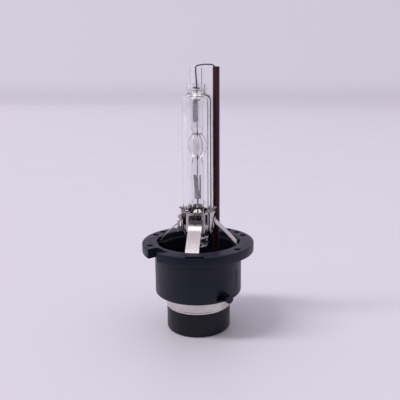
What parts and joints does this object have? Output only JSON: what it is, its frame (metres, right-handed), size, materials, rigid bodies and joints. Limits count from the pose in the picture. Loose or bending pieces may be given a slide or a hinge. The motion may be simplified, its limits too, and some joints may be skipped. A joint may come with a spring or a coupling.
{
  "type": "headlight bulb",
  "caption": "Gas-discharge headlight bulb: a double-walled quartz capsule held by a sprung metal cage in a black flanged plug-in base, with an outside return wire in a ceramic sleeve.",
  "frame": {"origin": "centre of the flat bottom of the connector cap, on the bulb's axis", "axes": "+Z along the bulb's axis from the connector end to the tip; the four cage legs stand on +X, +Y, -X and -Y, and the flange's deep keyway is at -130 degrees about +Z from +X"},
  "size_m": [0.0324, 0.0324, 0.0763],
  "materials": {
    "base_plastic": "moulded, fine satin grain",
    "cap_plastic": "moulded, smooth satin",
    "plated_metal": "bright plated, fine turning lines",
    "spring_steel": "stamped stainless, bright rolled grain",
    "burner_quartz": "clear fused quartz",
    "bulb_quartz": "clear doped quartz, polished",
    "tungsten": "dark drawn wire",
    "molybdenum": "thin rolled foil, sealed in quartz",
    "nickel_wire": "drawn wire, slightly oxidised",
    "brown_ceramic": "extruded, matt",
    "halide_salt": "fused salt residue"
  },
  "bodies": {
    "root": {"base_housing": "base_plastic", "connector_cap": "cap_plastic", "contact_ring": "plated_metal", "centre_contact": "plated_metal", "return_strap": "plated_metal", "ceramic_shield": "brown_ceramic", "return_wire": "nickel_wire", "quartz_burner": "burner_quartz", "upper_electrode": "tungsten", "lower_electrode": "tungsten", "upper_foil": "molybdenum", "lower_foil": "molybdenum", "upper_lead": "nickel_wire", "high_voltage_lead": "nickel_wire", "weld_tab": "nickel_wire", "halide_charge": "halide_salt", "outer_bulb": "bulb_quartz", "clamp_collar": "spring_steel", "leg_bracket_front": "spring_steel", "leg_bracket_right": "spring_steel", "leg_bracket_back": "spring_steel", "leg_bracket_left": "spring_steel"}
  },
  "joints": []
}
